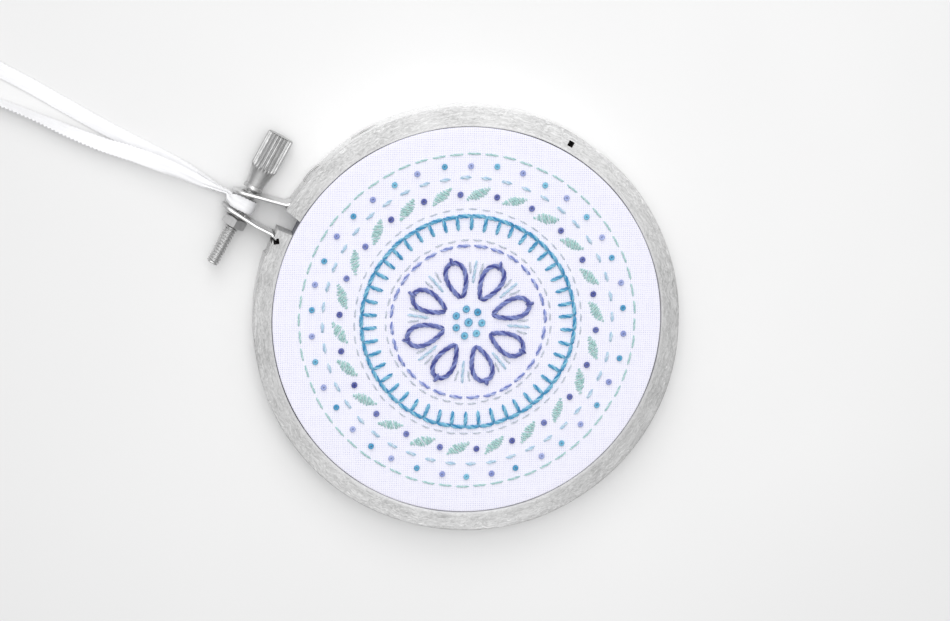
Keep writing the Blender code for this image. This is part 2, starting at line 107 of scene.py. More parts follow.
# Ribbon route: x, y, z and width in millimetres, and turn about the run in degrees
RIBBON_ROUTE = (
    (-0.60, 51.5, 1.65, 2.4, 0),
    (-0.35, 52.7, 1.65, 1.3, 0),
    (-0.20, 53.8, 1.60, 0.9, 0),
    (-0.30, 55.4, 1.45, 1.0, 0),
    (-0.30, 57.0, 1.30, 1.4, 0),
    (-0.30, 59.0, 1.12, 1.9, 0),
    (-0.2, 62.2, 0.90, 2.45, 0),
    (-0.35, 66.9, 0.70, 2.85, 0),
    (-0.45, 74.1, 0.65, 2.85, 0),
    (-0.5, 81.3, 0.65, 2.85, 0),
    (-0.35, 88.6, 0.65, 2.85, 0),
    (-0.15, 95.9, 0.65, 2.85, 0),
    (-0.15, 102.9, 0.80, 2.85, 4),
    (0.10, 107.5, 1.35, 3.0, 35),
    (0.00, 111.5, 1.65, 3.0, 70),
    (-0.70, 115.0, 1.68, 3.0, 88),
    (-2.60, 117.6, 1.68, 3.0, 90),
    (-5.20, 118.1, 1.68, 3.0, 90),
    (-7.30, 116.2, 1.68, 3.0, 90),
    (-8.00, 112.8, 1.68, 3.0, 92),
    (-7.60, 108.5, 1.68, 3.0, 96),
    (-6.6, 104.2, 1.68, 3.0, 101),
    (-5.6, 99.8, 1.66, 3.0, 109),
    (-4.85, 93.1, 1.70, 3.0, 116),
    (-4.3, 86.2, 1.90, 3.0, 133),
    (-3.5, 79.5, 2.30, 2.9, 150),
    (-2.2, 73.0, 3.00, 2.9, 170),
    (-1.28, 67.0, 3.75, 2.9, 180),
    (-0.80, 62.2, 4.35, 2.4, 180),
    (-0.57, 59.0, 4.85, 1.9, 180),
    (-0.35, 57.0, 5.15, 1.3, 180),
    (-0.15, 55.4, 5.40, 1.0, 180),
    (0.10, 53.8, 5.65, 0.9, 180),
    (-0.45, 52.9, 5.80, 1.8, 180),
    (-0.60, 51.8, 5.80, 2.6, 180),
)
WRAP_RADIUS = 2.05
WRAP_END = math.radians(12)
WRAP_WIDTH = 2.7
WRAP_X = -0.55
WRAP_POINTS = 6
RIBBON_WIDTH = 3.0
RIBBON_SHEET = 0.3
RIBBON_STATIONS = 1400
SELVEDGE_PITCH = 0.8
SELVEDGE_DEPTH = 0.11
SELVEDGE_CALM = 0.05
SELVEDGE_RUFFLE = 0.08
LAID_LOWER = 0.35

# Embroidery: how far a stitch's ends go into the cloth and over what length, the spacing of its
# places, and the length of a full twist, in widths of the strand
DIVE_DEPTH = 0.25
DIVE_REACH = 0.9
STITCH_STEP = 0.22
TWIST = 3.4

# The cloth's threads run along and across this direction, turned from +X
WEAVE_TURN = math.radians(62)
WEAVE_PITCH = 0.43

# Painted light on the wood: stretches round the ring painted paler or darker as the light falls off: middle
# and half their reach, in degrees from the clamp towards +X, and how much paler they are
LIGHT_FALLOFF_STRETCHES = ((66, 60, 0.27), (172, 45, -0.15), (-105, 35, 0.08), (-46, 24, -0.07))
WOOD_TONE = 0.96
# The outer ring swells past its nominal radius: middle, half the reach and the swell in millimetres
EVEN_SWELL = 0.25
SWELLS = ((57, 42, 0.35), (202, 52, 0.4))
# The board is painted brightest round this place, a painted pool of light that dims away from it, in
# millimetres
FLOOR_LIGHT_POOL = (25.0, -17.0, 0.0)

CAMERA_PLACE = (0.04856, 0.083235, 0.46595)
CAMERA_TURN = (-0.17884, -0.119913, -1.060693)
CAMERA_LENS = 90
# A high and a low lamp stand on the clamp's side; the dome is brightest almost straight overhead
LAMPS = {"high_lamp": ((0.139, 0.154, 0.978), 2.6), "low_lamp": ((0.586, 0.457, 0.669), 1.9)}
DOME_WAY = Vector((0.21, 0.136, 0.968)).normalized()
LAMP_DISTANCE = 0.9
LAMP_SIZE = 0.6
DOME_DIM = (0.15, 0.15, 0.152, 1.0)
DOME_BRIGHT = (1.03, 1.03, 1.03, 1.0)

random.seed(11)


def srgb(red, green, blue):
    """Linear colour of a display colour given in 0 to 255."""
    shares = [value / 255 for value in (red, green, blue)]
    return (*[s / 12.92 if s <= 0.04045 else ((s + 0.055) / 1.055) ** 2.4 for s in shares], 1.0)


# Painted highlight colour of the rings' outer wall
WALL_HIGHLIGHT_PAINT = srgb(248, 248, 248)
# Grain streaks, partly a painted highlight near the outer edge
STREAK_AND_EDGE_HIGHLIGHT = srgb(246, 246, 246)
# Painted shade inside the pin holes and the saw cut
HOLE_SHADE = srgb(36, 26, 28)
TUCKED_SHADE = srgb(88, 91, 106)


def from_ring(x, y, z):
    """World point of a place given in millimetres from the ring's centre."""
    return Vector((x * MM, y * MM + RING_Y, z * MM))


def around(radius, angle):
    """Place on a circle about the ring's centre, angle in radians from the clamp towards +X."""
    return (radius * math.sin(angle), radius * math.cos(angle))


def smooth_step(share):
    share = min(max(share, 0.0), 1.0)
    return share * share * (3 - 2 * share)


# Node helpers


def feed(tree, socket, value):
    if isinstance(value, bpy.types.NodeSocket):
        tree.links.new(value, socket)
    else:
        socket.default_value = value


def add_node(tree, kind, inputs, **settings):
    """New shader node with its settings, and its inputs set or linked by name or number."""
    made = tree.nodes.new("ShaderNode" + kind)
    for name, value in settings.items():
        setattr(made, name, value)
    for key, value in inputs.items():
        feed(tree, made.inputs[key], value)
    return made


def maths(tree, operation, *values):
    return add_node(tree, "Math", dict(enumerate(values)), operation=operation).outputs[0]


def vector_maths(tree, operation, *values):
    return add_node(tree, "VectorMath", dict(enumerate(values)), operation=operation).outputs[0]


def times(tree, first, second):
    return maths(tree, "MULTIPLY", first, second)


def stretched(tree, place, factors):
    return vector_maths(tree, "MULTIPLY", place, factors)


def axes_of(tree, place):
    """The x, y and z of a place."""
    return add_node(tree, "SeparateXYZ", {0: place}).outputs


def along_way(tree, place, way):
    """How far a place lies along a direction."""
    inputs = {0: place, 1: way}
    return add_node(tree, "VectorMath", inputs, operation="DOT_PRODUCT").outputs["Value"]


def off_from(tree, value, middle):
    """How far a value is from a middle one, either way."""
    return maths(tree, "ABSOLUTE", maths(tree, "SUBTRACT", value, middle))


def noise(tree, place, scale, detail=2.0, roughness=0.5):
    inputs = {"Vector": place, "Scale": scale, "Detail": detail, "Roughness": roughness}
    return add_node(tree, "TexNoise", inputs).outputs["Fac"]


def wobble(tree, place, scale, reach):
    """Shift of a place, up to half of the reach either way along each axis."""
    made = add_node(tree, "TexNoise", {"Vector": place, "Scale": scale, "Detail": 2.0})
    shift = vector_maths(tree, "SUBTRACT", made.outputs["Color"], (0.5, 0.5, 0.5))
    return stretched(tree, shift, reach)


def between(tree, value, low, high, out_low=0.0, out_high=1.0):
    """The value spread from one range onto another, held at its ends."""
    inputs = {"Value": value, "From Min": low, "From Max": high, "To Min": out_low, "To Max": out_high}
    return add_node(tree, "MapRange", inputs).outputs[0]


def mixed(tree, share, first, second, blend="MIX"):
    """Mix of two colours."""
    made = tree.nodes.new("ShaderNodeMix")
    made.data_type = "RGBA"
    made.blend_type = blend
    feed(tree, made.inputs[0], share)
    feed(tree, made.inputs[6], first)
    feed(tree, made.inputs[7], second)
    return made.outputs[2]


def dimmed(tree, colour, share):
    """The colour with each of its channels multiplied by a share."""
    grey = add_node(tree, "CombineColor", {0: share, 1: share, 2: share}).outputs[0]
    return mixed(tree, 1.0, colour, grey, "MULTIPLY")


def bumped(tree, shader, height, distance, strength=1.0, below=None):
    """Raise the surface by a height in millimetres' share; returns the normal."""
    inputs = {"Height": height, "Distance": distance * MM, "Strength": strength}
    if below is not None:
        inputs["Normal"] = below
    normal = add_node(tree, "Bump", inputs).outputs[0]
    feed(tree, shader.inputs["Normal"], normal)
    return normal


def new_material(name):
    material = bpy.data.materials.new(name)
    material.use_nodes = True
    tree = material.node_tree
    return material, tree, tree.nodes["Principled BSDF"]


def place_in_mm(tree):
    """The point's place in millimetres from the ring's centre."""
    place = add_node(tree, "TexCoord", {}).outputs["Object"]
    place = vector_maths(tree, "SUBTRACT", place, (0.0, RING_Y, 0.0))
    return stretched(tree, place, (1 / MM,) * 3)


def place_along_ring(tree):
    """Length along the ring, distance from its centre and height, in millimetres, and that distance."""
    x, y, z = axes_of(tree, place_in_mm(tree))
    angle = maths(tree, "ARCTAN2", x, times(tree, y, -1.0))
    along = times(tree, angle, (OUTER_RADIUS + BORE_RADIUS) / 2)
    squares = maths(tree, "ADD", maths(tree, "POWER", x, 2.0), maths(tree, "POWER", y, 2.0))
    radius = maths(tree, "SQRT", squares)
    return add_node(tree, "CombineXYZ", {0: along, 1: radius, 2: z}).outputs[0], radius


# Materials


def wood_material(name, dark, light, lift):
    """Weathered wood: wavy fibres along the ring, dark flecks, bright streaks painted brighter towards the
    outer edge as a highlight, a paler worn bore, a painted highlight on the outer wall, painted shade in the
    holes and painted light that changes round the ring.
    """
    material, tree, shader = new_material(name)
    along_ring, radius = place_along_ring(tree)
    wavy = vector_maths(tree, "ADD", along_ring, wobble(tree, along_ring, 0.35, (5.0, 1.6, 1.6)))
    fibres = noise(tree, stretched(tree, wavy, (0.22, 1.9, 1.9)), 1.0, 4.0, 0.6)
    flecks = noise(tree, stretched(tree, wavy, (1.1, 3.6, 3.6)), 1.0, 3.0, 0.75)
    streaks = noise(tree, stretched(tree, wavy, (0.32, 4.2, 4.2)), 1.0, 2.0, 0.6)
    blotches = noise(tree, along_ring, 0.16, 3.0, 0.6)
    colour = mixed(tree, between(tree, fibres, 0.3, 0.7), dark, light)
    place = place_in_mm(tree)
    height = axes_of(tree, place)[2]
    # Painted highlight: the outer wall below the top face is painted near white, standing in for light on it
    wall = times(
        tree,
        between(tree, radius, OUTER_RADIUS - 0.6, OUTER_RADIUS - 0.1, 0.0, 0.8),
        between(tree, height, RING_HEIGHT - 0.6, RING_HEIGHT - 0.15, 1.0, 0.0),
    )
    colour = mixed(tree, wall, colour, WALL_HIGHLIGHT_PAINT)
    colour = dimmed(tree, colour, between(tree, flecks, 0.32, 0.62, 0.66, 1.1))
    colour = mixed(tree, between(tree, blotches, 0.35, 0.7, 0.0, 0.3), colour, lift)
    # Grain streaks, painted brighter towards the outer edge as a highlight on it
    bright = times(
        tree,
        between(tree, streaks, 0.6, 0.7, 0.0, 0.7),
        between(tree, radius, BORE_RADIUS + 1.0, OUTER_RADIUS, 0.35, 1.0),
    )
    colour = mixed(tree, bright, colour, STREAK_AND_EDGE_HIGHLIGHT)
    worn = between(tree, radius, BORE_RADIUS + 0.1, BORE_RADIUS + 0.6, 0.45, 0.0)
    colour = mixed(tree, worn, colour, lift)
    # Painted shade inside the pin holes and the saw cut
    colour = with_painted_hole_shade(tree, colour, place)
    # Painted light: the wood painted paler or darker round the ring as the light falls off
    colour = dimmed(tree, colour, painted_light_tone(tree, place, radius))
    feed(tree, shader.inputs["Base Color"], colour)
    feed(tree, shader.inputs["Roughness"], between(tree, flecks, 0.3, 0.7, 0.85, 0.62))
    shader.inputs["Specular IOR Level"].default_value = 0.3
    normal = bumped(tree, shader, fibres, 0.10, 0.5)
    bumped(tree, shader, flecks, 0.08, 0.6, normal)
    return material


def with_painted_hole_shade(tree, colour, place):
    """The colour with painted shade inside the pin holes and the saw cut beside the nut-side ear."""
    x_at, y_at, height = axes_of(tree, place)
    for x, y, _ in PIN_HOLES:
        aside = maths(tree, "MAXIMUM", off_from(tree, x_at, x), off_from(tree, y_at, y))
        inside = maths(tree, "LESS_THAN", aside, PIN_HOLE_SIDE * 0.75)
        deep = between(tree, height, RING_HEIGHT - 0.5, RING_HEIGHT - 0.05, 0.9, 0.0)
        colour = mixed(tree, times(tree, inside, deep), colour, HOLE_SHADE)
    inner = Vector(EARS["clamp_ear_nut_side"][3])
    run = (Vector(EARS["clamp_ear_nut_side"][2]) - inner).normalized()
    ways = (run, Vector((-run.y, run.x)))
    along, aside = [off_from(tree, along_way(tree, place, (*way, 0.0)), inner.dot(way)) for way in ways]
    inside = maths(tree, "LESS_THAN", aside, SAW_CUT_WIDTH / 2 + 0.04)
    inside = times(tree, inside, maths(tree, "LESS_THAN", along, PIN_HOLE_SIDE * 0.8))
    deep = between(tree, height, RING_HEIGHT - 0.4, RING_HEIGHT - 0.05, 0.85, 0.0)
    return mixed(tree, times(tree, inside, deep), colour, HOLE_SHADE)


def painted_light_tone(tree, place, radius):
    """Painted light: how much paler or darker the wood is painted at this place round the ring, as the light
    falls off.
    """
    shade_and_tone = WOOD_TONE
    for middle, reach, strength in LIGHT_FALLOFF_STRETCHES:
        way = (*around(1.0, math.radians(middle)), 0.0)
        share = maths(tree, "DIVIDE", along_way(tree, place, way), radius)
        share = between(tree, share, math.cos(math.radians(reach)), 1.0, 0.0, strength)
        shade_and_tone = maths(tree, "ADD", share, shade_and_tone)
    return shade_and_tone


def cotton_material():
    """Plain weave cotton: threads over and under each other, with slubs."""
    material, tree, shader = new_material("cotton_cloth")
    place = place_in_mm(tree)
    inputs = {"Vector": place, "Angle": WEAVE_TURN}
    weave_place = add_node(tree, "VectorRotate", inputs, rotation_type="Z_AXIS").outputs[0]
    uneven = vector_maths(tree, "ADD", weave_place, wobble(tree, place, 0.6, (0.35, 0.35, 0.0)))
    axes = axes_of(tree, uneven)
    waves = [maths(tree, "SINE", times(tree, axes[k], math.pi / WEAVE_PITCH)) for k in (0, 1)]
    over = times(tree, *waves)
    ridges = [maths(tree, "ABSOLUTE", wave) for wave in waves]
    height = maths(tree, "ADD", times(tree, *ridges), times(tree, over, 0.35))
    ways = ((0.3, 2.4, 1.0), (2.4, 0.3, 1.0))
    slubs = [noise(tree, stretched(tree, weave_place, way), 1.0, 3.0) for way in ways]
    slub = maths(tree, "ADD", *slubs)
    height = maths(tree, "ADD", height, times(tree, slub, 0.6))
    # Painted shade: the weave's low places and the gaps between threads are painted darker as the shade in
    # them
    colour = mixed(tree, between(tree, height, 0.2, 1.5), srgb(230, 229, 243), srgb(241, 240, 250))
    gap_shade = between(tree, maths(tree, "MAXIMUM", ridges[0], ridges[1]), 0.3, 0.62, 1.0, 0.0)
    gap_shade = times(tree, gap_shade, between(tree, slub, 0.85, 1.15, 1.0, 0.4))
    colour = mixed(tree, gap_shade, colour, srgb(186, 188, 222))
    tucked = between(tree, axes_of(tree, place)[2], CLOTH_TOP - 1.1, CLOTH_TOP - 0.4, 0.85, 0.0)
    feed(tree, shader.inputs["Base Color"], mixed(tree, tucked, colour, TUCKED_SHADE))
    shader.inputs["Roughness"].default_value = 0.9
    shader.inputs["Sheen Weight"].default_value = 0.15
    shader.inputs["Specular IOR Level"].default_value = 0.2
    bumped(tree, shader, height, 0.05, 0.55)
    return material


def satin_material():
    """White satin ribbon: fine lengthwise floats, cross ribs and a soft sheen."""
    material, tree, shader = new_material("satin_ribbon")
    along = add_node(tree, "Attribute", {}, attribute_name="along").outputs["Fac"]
    across = add_node(tree, "Attribute", {}, attribute_name="across").outputs["Fac"]
    place = add_node(tree, "CombineXYZ", {0: times(tree, along, 0.35), 1: times(tree, across, 9.0)})
    floats = noise(tree, place.outputs[0], 1.0, 3.0)
    ribs = maths(tree, "SINE", times(tree, along, 2 * math.pi / (SELVEDGE_PITCH / 2)))
    edge = between(tree, maths(tree, "ABSOLUTE", across), 0.82, 0.98)
    ribs = times(tree, ribs, maths(tree, "MULTIPLY_ADD", edge, 0.8, 0.15))
    height = maths(tree, "ADD", times(tree, ribs, 0.4), floats)
    colour = mixed(tree, between(tree, floats, 0.3, 0.7), srgb(234, 234, 236), srgb(244, 244, 246))
    feed(tree, shader.inputs["Base Color"], colour)
    feed(tree, shader.inputs["Roughness"], between(tree, floats, 0.3, 0.7, 0.5, 0.36))
    shader.inputs["Sheen Weight"].default_value = 0.3
    bumped(tree, shader, height, 0.03, 0.5)
    return material


def metal_material(name, colour, low, high, wear):
    """Plated metal: fine scratches, cloudy roughness, duller spots and a darker thumb head."""
    material, tree, shader = new_material(name)
    place = place_in_mm(tree)
    clouds = noise(tree, place, 0.9, 4.0, 0.6)
    scratches = noise(tree, stretched(tree, place, (1.5, 9.0, 9.0)), 1.0, 3.0, 0.7)
    dull = between(tree, clouds, 0.45, 0.75, 0.0, wear)
    colour = mixed(tree, dull, colour, srgb(150, 150, 150))
    on_head = between(tree, axes_of(tree, place)[0], 4.2, 6.5, 0.0, 0.5)
    feed(tree, shader.inputs["Base Color"], mixed(tree, on_head, colour, srgb(170, 170, 170)))
    feed(tree, shader.inputs["Roughness"], between(tree, clouds, 0.3, 0.7, low, high))
    shader.inputs["Metallic"].default_value = 1.0
    bumped(tree, shader, scratches, 0.02, 0.35)
    return material


def thread_material(name, deep, pale):
    """Cotton floss: each ply painted lighter or darker as painted shade between the strands, each knot a
    random shade of the colour, with drifting variation, fine fibres and a slight lustre.
    """
    material, tree, shader = new_material(name)
    place = place_in_mm(tree)
    drift = noise(tree, place, 0.7, 3.0)
    fibres = noise(tree, place, 4.5, 4.0, 0.75)
    share = maths(tree, "ADD", times(tree, drift, 0.4), times(tree, fibres, 0.6))
    share = between(tree, share, 0.38, 0.6, -0.3, 0.3)
    # Painted shade of each ply between the strands, and a random shade of the colour for each knot
    shade_and_tone = add_node(tree, "Attribute", {}, attribute_name="shade_and_tone").outputs["Fac"]
    share = between(tree, maths(tree, "ADD", share, shade_and_tone), 0.0, 1.0)
    feed(tree, shader.inputs["Base Color"], mixed(tree, share, deep, pale))
    shader.inputs["Roughness"].default_value = 0.62
    shader.inputs["Sheen Weight"].default_value = 0.35
    shader.inputs["Sheen Roughness"].default_value = 0.4
    bumped(tree, shader, fibres, 0.12, 0.8)
    return material


def floor_material():
    material, tree, shader = new_material("pale_board")
    place = place_in_mm(tree)
    patches = noise(tree, place, 0.012, 3.0)
    tooth = noise(tree, place, 2.5, 3.0)
    colour = mixed(tree, between(tree, patches, 0.3, 0.7), srgb(234, 234, 234), srgb(237, 237, 237))
    inputs = {0: place, 1: FLOOR_LIGHT_POOL}
    away = add_node(tree, "VectorMath", inputs, operation="DISTANCE").outputs["Value"]
    # Painted light: the board's colour dims away from the painted pool of light
    painted_falloff = between(tree, away, 60.0, 140.0, 0.0, 0.65)
    feed(tree, shader.inputs["Base Color"], mixed(tree, painted_falloff, colour, srgb(222, 222, 222)))
    shader.inputs["Roughness"].default_value = 0.9
    shader.inputs["Specular IOR Level"].default_value = 0.1
    bumped(tree, shader, tooth, 0.02, 0.3)
    return material


# Mesh helpers


def piece(name, points, faces, material, body, replaced=(), sharp=35.0):
    """New piece from points in world metres, riding on a body."""
    mesh = bpy.data.meshes.new(name)
    mesh.from_pydata([tuple(point) for point in points], [], [tuple(face) for face in faces])
    return dressed(name, mesh, material, body, replaced, sharp)


def dressed(name, mesh, material, body, replaced=(), sharp=35.0):
    """Object around a mesh, with its normals outward, its material and its body."""
    builder = bmesh.new()
    builder.from_mesh(mesh)
    bmesh.ops.recalc_face_normals(builder, faces=builder.faces)
    builder.to_mesh(mesh)
    builder.free()
    obj = bpy.data.objects.new(name, mesh)
    bpy.context.scene.collection.objects.link(obj)
    mesh.materials.clear()
    mesh.materials.append(material)
    mesh.shade_smooth()
    mesh.set_sharp_from_angle(angle=math.radians(sharp))
    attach(obj, body)
    if replaced:
        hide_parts(*replaced)
    return obj


def mark(obj, name, values):
    """Give each point of a piece a value that its material reads."""
    obj.data.attributes.new(name, "FLOAT", "POINT").data.foreach_set("value", values)


def settled(obj):
    """Mesh of an object with its modifiers applied; the object is removed."""
    bpy.context.scene.collection.objects.link(obj)
    bpy.context.view_layer.update()
    evaluated = obj.evaluated_get(bpy.context.evaluated_depsgraph_get())
    mesh = bpy.data.meshes.new_from_object(evaluated)
    mesh.transform(obj.matrix_world)
    bpy.data.objects.remove(obj, do_unlink=True)
    return mesh


def rounded(centre, radius, start, end, steps):
    """Points of an arc in the (radius, height) plane, angles in degrees."""
    points = []
    for step in range(steps + 1):
        angle = math.radians(start + (end - start) * step / steps)
        points.append((centre[0] + radius * math.cos(angle), centre[1] + radius * math.sin(angle)))
    return points


def filled(points, longest):
    """The same closed outline with extra points wherever an edge is longer than this."""
    dense = []
    for here, there in zip(points, points[1:] + points[:1]):
        parts = max(1, math.ceil(math.dist(here, there) / longest))
        for part in range(parts):
            share = part / parts
            dense.append((here[0] + (there[0] - here[0]) * share, here[1] + (there[1] - here[1]) * share))
    return dense


def strips(rows, count, joined=False):
    """Faces between rows of points, each row closed on itself; joined rows end at the first one."""
    faces = []
    for row in range(rows if joined else rows - 1):
        here = row * count
        there = (row + 1) % rows * count
        for k in range(count):
            after = (k + 1) % count
            faces.append((here + k, here + after, there + after, there + k))
    return faces


def turned(profile, steps, wander=lambda angle, radius: 0.0):
    """Closed (radius, height) outline turned about the ring's centre: points and faces."""
    points = []
    for step in range(steps):
        angle = 2 * math.pi * step / steps
        for radius, height in profile:
            points.append(from_ring(*around(radius + wander(angle, radius), angle), height))
    return points, strips(steps, len(profile), joined=True)


def tube(line, radii, sides, up=(0.0, 0.0, 1.0)):
    """Round tube along a line of points: its points and faces as arrays."""
    line = np.asarray(line, float)
    radii = np.broadcast_to(radii, len(line))
    run = np.gradient(line, axis=0)
    run /= np.linalg.norm(run, axis=1)[:, None]
    side = np.cross(np.asarray(up), run)
    side /= np.maximum(np.linalg.norm(side, axis=1), 1e-9)[:, None]
    lift = np.cross(run, side)
    angles = 2 * np.pi * np.arange(sides) / sides
    out = np.cos(angles)[None, :, None] * side[:, None, :] + np.sin(angles)[None, :, None] * lift[:, None, :]
    points = (line[:, None, :] + radii[:, None, None] * out).reshape(-1, 3)
    faces = strips(len(line), sides)
    faces.append(tuple(range(sides)))
    faces.append(tuple(range((len(line) - 1) * sides, len(line) * sides)))
    return points, faces


def bar(start, end, width):
    """Corners of a rectangle along a line, from its start to its end."""
    run = (end - start).normalized()
    aside = Vector((-run.y, run.x)) * width / 2
    return [start + aside, start - aside, end - aside, end + aside]


def prism_cutter(corners, low, high):
    """Upright cutter over a polygon of (x, y) corners, between two heights."""
    builder = bmesh.new()
    floor = [builder.verts.new(from_ring(x, y, low)) for x, y in corners]
    roof = [builder.verts.new(from_ring(x, y, high)) for x, y in corners]
    builder.faces.new(floor)
    builder.faces.new(roof)
    for k in range(len(corners)):
        after = (k + 1) % len(corners)
        builder.faces.new((floor[k], floor[after], roof[after], roof[k]))
    bmesh.ops.recalc_face_normals(builder, faces=builder.faces)
    return cutter_object(builder)


def rod_cutter(start, end, radius):
    start = from_ring(*start)
    end = from_ring(*end)
    builder = bmesh.new()
    size = {"radius1": radius * MM, "radius2": radius * MM, "depth": (end - start).length}
    bmesh.ops.create_cone(builder, cap_ends=True, segments=24, **size)
    obj = cutter_object(builder)
    obj.location = (start + end) / 2
    obj.rotation_mode = "QUATERNION"
    obj.rotation_quaternion = (end - start).to_track_quat("Z", "Y")
    return obj


def cutter_object(builder):
    mesh = bpy.data.meshes.new("cutter")
    builder.to_mesh(mesh)
    builder.free()
    obj = bpy.data.objects.new("cutter", mesh)
    bpy.context.scene.collection.objects.link(obj)
    return obj


# Camera, light and floor


def make_camera():
    data = bpy.data.cameras.new("camera")
    data.lens = CAMERA_LENS
    data.sensor_width = 36
    data.clip_start = 0.01
    camera = bpy.data.objects.new("camera", data)
    camera.location = CAMERA_PLACE
    camera.rotation_euler = CAMERA_TURN
    bpy.context.scene.collection.objects.link(camera)
    bpy.context.scene.camera = camera


def make_light():
    """Two large soft lamps on the clamp's side, and a pale dome that is brightest overhead."""
    for name, (way, watts) in LAMPS.items():
        data = bpy.data.lights.new(name, "AREA")
        data.shape = "DISK"
        data.size = LAMP_SIZE
        data.energy = watts
        lamp = bpy.data.objects.new(name, data)
        lamp.location = Vector(way) * LAMP_DISTANCE
        lamp.rotation_mode = "QUATERNION"
        lamp.rotation_quaternion = Vector(way).to_track_quat("Z", "Y")
        bpy.context.scene.collection.objects.link(lamp)

    world = bpy.data.worlds.new("studio")
    bpy.context.scene.world = world
    world.use_nodes = True
    tree = world.node_tree
    way = add_node(tree, "TexCoord", {}).outputs["Generated"]
    share = between(tree, along_way(tree, way, DOME_WAY), 0.15, 1.0)
    shader = tree.nodes["Background"]
    feed(tree, shader.inputs["Color"], mixed(tree, share, DOME_DIM, DOME_BRIGHT))
    shader.inputs["Strength"].default_value = 1.0


def make_floor():
    reach = 3.0
    mesh = bpy.data.meshes.new("floor")
    corners = [(-reach, -reach, 0.0), (reach, -reach, 0.0), (reach, reach, 0.0), (-reach, reach, 0.0)]
    mesh.from_pydata(corners, [], [(0, 1, 2, 3)])
    mesh.materials.append(floor_material())
    floor = bpy.data.objects.new("floor", mesh)
    bpy.context.scene.collection.objects.link(floor)


# Hanging ribbon


def ribbon_rows():
    """The whole route: under the rod, out, back and over the rod."""
    under = (math.pi + WRAP_END, 1.5 * math.pi, 0)
    over = (0.5 * math.pi, math.pi - WRAP_END, 180)
    arcs = []
    for start, end, turn in (under, over):
        arc = []
        for point in range(WRAP_POINTS):
            angle = start + (end - start) * point / (WRAP_POINTS - 1)
            y = SCREW_Y + WRAP_RADIUS * math.cos(angle)
            z = SCREW_Z + WRAP_RADIUS * math.sin(angle)
            arc.append((WRAP_X, y, z, WRAP_WIDTH, turn))
        arcs.append(arc)
    return arcs[0] + list(RIBBON_ROUTE) + arcs[1]


def smooth_row(rows, place):
    """Row of the table at a fractional place, on a smooth curve through all rows."""
    first = min(int(place), len(rows) - 2)
    share = place - first
    before = rows[max(first - 1, 0)]
    after = rows[min(first + 2, len(rows) - 1)]
    row = []
    for a, b, c, d in zip(before, rows[first], rows[first + 1], after):
        slope_in = (c - a) / 2
        slope_out = (d - b) / 2
        cube = 2 * b - 2 * c + slope_in + slope_out
        square = -3 * b + 3 * c - 2 * slope_in - slope_out
        row.append(((cube * share + square) * share + slope_in) * share + b)
    return row


def make_ribbon():
    """Satin strip with scalloped selvedges, creased where it is pinched beside the ear."""
    table = ribbon_rows()
    fine = [smooth_row(table, place) for place in np.linspace(0.0, len(table) - 1, 4 * RIBBON_STATIONS)]
    steps = np.linalg.norm(np.diff([row[:3] for row in fine], axis=0), axis=1)
    reached = np.concatenate([[0.0], np.cumsum(steps)])
    even = np.linspace(0.0, reached[-1], RIBBON_STATIONS + 1)
    rows = np.column_stack([np.interp(even, reached, column) for column in zip(*fine)]).tolist()
    for row in rows:
        row[2] -= LAID_LOWER * smooth_step((1.5 - row[2]) / 0.6) * smooth_step((50 - row[4]) / 50)
    route = [from_ring(*row[:3]) for row in rows]
    lengths = [0.0]
    for here, there in zip(route, route[1:]):
        lengths.append(lengths[-1] + (there - here).length)
    half_columns = [0.3, 0.6, 0.85, 0.97, 1.0]
    columns = [-share for share in reversed(half_columns)] + [0.0] + half_columns
    points = []
    along = []
    across_share = []
    for i, row in enumerate(rows):
        run = (route[min(i + 1, len(route) - 1)] - route[max(i - 1, 0)]).normalized()
        turn = math.radians(row[4])
        across = Vector((math.cos(turn), 0.0, math.sin(turn)))
        across = (across - run * across.dot(run)).normalized()
        through = run.cross(across)
        reach = lengths[i] / MM
        on_edge = smooth_step((row[4] - 80) / 30) * smooth_step((178 - row[4]) / 10)
        scallop = SELVEDGE_CALM + (SELVEDGE_DEPTH - SELVEDGE_CALM) * on_edge
        wave = math.sin(2 * math.pi * reach / SELVEDGE_PITCH)
        half = row[3] / 2 + scallop * wave
        gathered = math.sqrt(max((RIBBON_WIDTH - 0.1) ** 2 - row[3] ** 2, 0.0))
        bulge = math.copysign(1.0, through.z)
        place = route[i]
        for side in (1, -1):
            for share in columns if side > 0 else reversed(columns):
                bow = bulge * 0.16 * gathered * (0.6 - share * share)
                crease = 0.06 * gathered * math.sin(7.0 * share + 0.6 * math.sin(0.5 * reach))
                thick = side * RIBBON_SHEET / 2 * (1 - 0.5 * abs(share) ** 8)
                ruffle = SELVEDGE_RUFFLE * on_edge * abs(share) ** 20 * wave
                raised = bow + crease + thick + ruffle
                points.append(place + (across * (half * share) + through * raised) * MM)
                along.append(reach)
                across_share.append(share)
    count = 2 * len(columns)
    faces = strips(len(rows), count)
    faces.append(tuple(range(count)))
    faces.append(tuple(range((len(rows) - 1) * count, len(rows) * count)))
    satin = satin_material()
    ribbon = piece("ribbon_satin", points, faces, satin, "hoop", ("hanging_ribbon",), 60.0)
    mark(ribbon, "along", along)
    mark(ribbon, "across", across_share)


# Rings and cloth


def ring_section(bore, radius, top, soft, steps):
    """Section of a ring whose edges are rounded, its outer ones by the given radius."""
    inner_soft = 0.25
    section = rounded((radius - soft, top - soft), soft, 90, 0, steps)
    section += rounded((radius - soft, soft), soft, 0, -90, steps)
    section += rounded((bore + inner_soft, inner_soft), inner_soft, -90, -180, 3)
    section += rounded((bore + inner_soft, top - inner_soft), inner_soft, 180, 90, 3)
    return section


